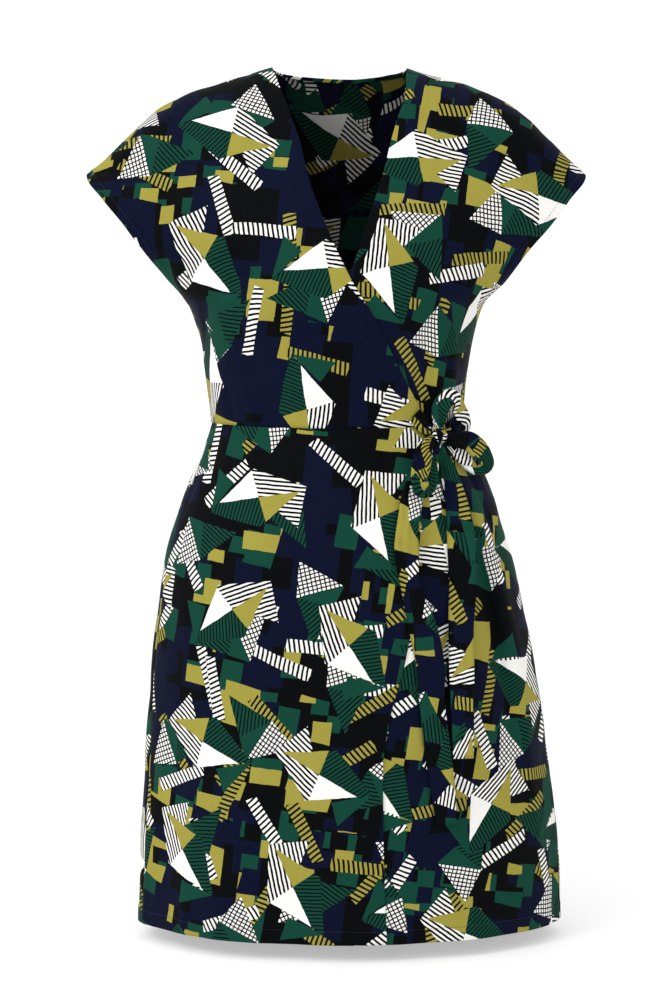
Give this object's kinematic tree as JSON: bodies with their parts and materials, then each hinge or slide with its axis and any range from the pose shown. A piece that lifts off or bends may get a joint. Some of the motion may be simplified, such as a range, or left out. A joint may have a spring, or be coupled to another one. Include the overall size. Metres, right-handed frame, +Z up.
{
  "type": "wrap dress",
  "caption": "Knee-length wrap dress with cap sleeves, a V neck and a tie bow at the left waist, filled out as if worn.",
  "frame": {"origin": "midway between the high shoulder points, at the base of the wearer's neck, where the wearer holds the dress up", "axes": "+Z up, -Y the front of the dress, -X the wearer's right"},
  "size_m": [0.5529, 0.2664, 0.9527],
  "materials": {
    "print_cloth": "matt woven viscose, navy and black ground with a green, mustard and white geometric print",
    "facing_cloth": "the same printed viscose, turned to the inside",
    "tie_cloth": "the same printed viscose, folded into a tie"
  },
  "bodies": {
    "root": {"bodice_front_right": "print_cloth", "bodice_front_left": "print_cloth", "bodice_back": "print_cloth", "neck_facing_right": "facing_cloth", "neck_facing_left": "facing_cloth", "skirt_front_right": "print_cloth", "skirt_front_left": "print_cloth", "skirt_back": "print_cloth", "tie_strap_front": "tie_cloth", "tie_strap_side": "tie_cloth", "bow_knot": "tie_cloth", "bow_loop_upper": "tie_cloth", "bow_loop_side": "tie_cloth", "bow_loop_small": "tie_cloth", "tie_tail_long": "tie_cloth", "tie_tail_short": "tie_cloth"}
  },
  "joints": []
}
